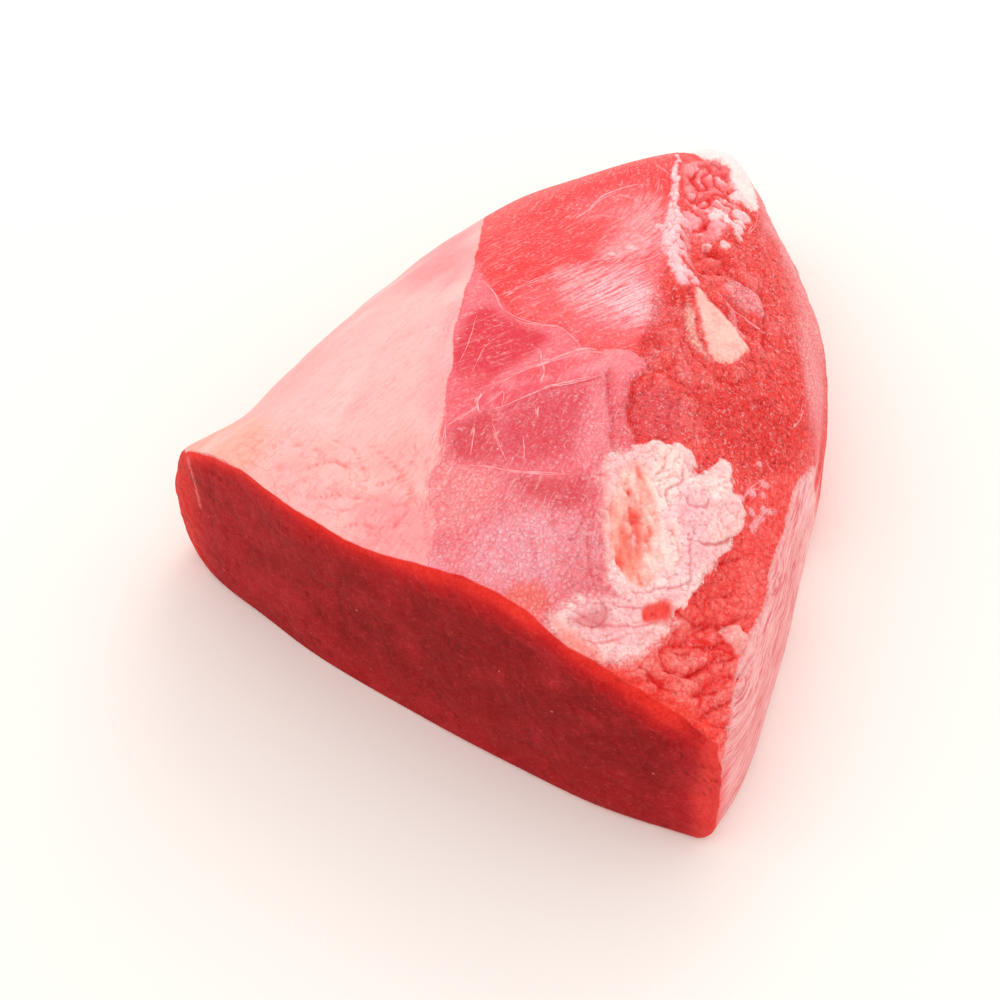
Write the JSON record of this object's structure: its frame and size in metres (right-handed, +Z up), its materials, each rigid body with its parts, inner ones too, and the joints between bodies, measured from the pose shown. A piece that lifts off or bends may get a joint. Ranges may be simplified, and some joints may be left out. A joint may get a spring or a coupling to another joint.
{
  "type": "beef top sirloin roast",
  "caption": "Raw boneless beef roast with a flat cut face, a domed top with a seam and a fat patch, a blunt point at the back and a flat underside to rest on.",
  "frame": {"origin": "on the board, under the middle of the roast's box", "axes": "+Z up, -Y out of the cut face, +Y towards the blunt point, +X towards the steep side under silverskin"},
  "size_m": [0.2322, 0.2712, 0.1013],
  "materials": {
    "meat": "satin"
  },
  "bodies": {
    "root": {"top_sirloin": "meat"}
  },
  "joints": []
}
